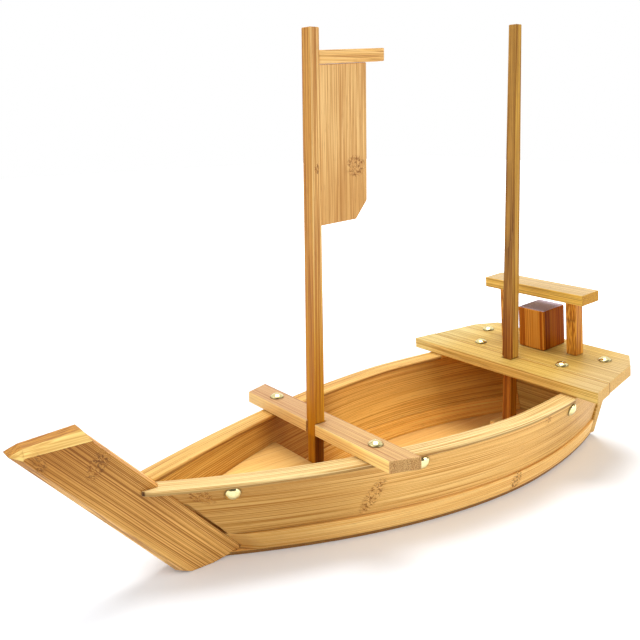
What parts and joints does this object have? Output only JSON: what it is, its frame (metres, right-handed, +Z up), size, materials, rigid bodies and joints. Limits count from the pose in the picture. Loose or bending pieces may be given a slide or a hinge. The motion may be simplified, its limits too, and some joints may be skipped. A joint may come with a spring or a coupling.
{
  "type": "sushi boat",
  "caption": "Bamboo serving boat with a raked stem board, planked sides, a thwart, a stern deck with a bench, and two masts that lift out, one with a flag.",
  "frame": {"origin": "on the table under the middle of the boat's length", "axes": "+X from bow to stern, +Z up, +Y to starboard"},
  "size_m": [0.582, 0.2328, 0.4215],
  "materials": {
    "bamboo": "satin varnished bamboo, tan",
    "pale_bamboo": "satin varnished bamboo, pale",
    "brass": "polished brass-plated domed nail"
  },
  "bodies": {
    "hull": {"rail_port": "pale_bamboo", "rail_starboard": "pale_bamboo", "bench_bar": "pale_bamboo", "bench_post_port": "pale_bamboo", "bench_post_starboard": "pale_bamboo", "stern_block": "pale_bamboo", "stem_board": "bamboo", "bottom_board": "bamboo", "lower_plank_port": "bamboo", "lower_plank_starboard": "bamboo", "upper_plank_port": "bamboo", "upper_plank_starboard": "bamboo", "transom": "bamboo", "bow_shelf": "bamboo", "bow_riser": "bamboo", "thwart": "bamboo", "deck_front_plank": "bamboo", "deck_rear_plank": "bamboo", "deck_beam": "bamboo", "deck_bearer_port": "bamboo", "deck_bearer_starboard": "bamboo", "fore_mast_step": "bamboo", "aft_mast_step": "bamboo", "thwart_nail_port": "brass", "thwart_nail_starboard": "brass", "deck_nail_front_port": "brass", "deck_nail_front_starboard": "brass", "deck_nail_rear_port": "brass", "deck_nail_rear_starboard": "brass", "side_nail_bow_port": "brass", "side_nail_bow_starboard": "brass", "side_nail_mid_port": "brass", "side_nail_mid_starboard": "brass", "side_nail_stern_port": "brass", "side_nail_stern_starboard": "brass"},
    "fore_rig": {"fore_mast": "bamboo", "yard": "bamboo", "flag_board": "bamboo"},
    "aft_rig": {"aft_mast": "bamboo"}
  },
  "joints": [
    {"name": "fore_mast_lift", "type": "slide", "parent": "hull", "child": "fore_rig", "axis": [0, 0, 1], "range_m": [0, 0.078]},
    {"name": "aft_mast_lift", "type": "slide", "parent": "hull", "child": "aft_rig", "axis": [0, 0, 1], "range_m": [0, 0.085]}
  ]
}
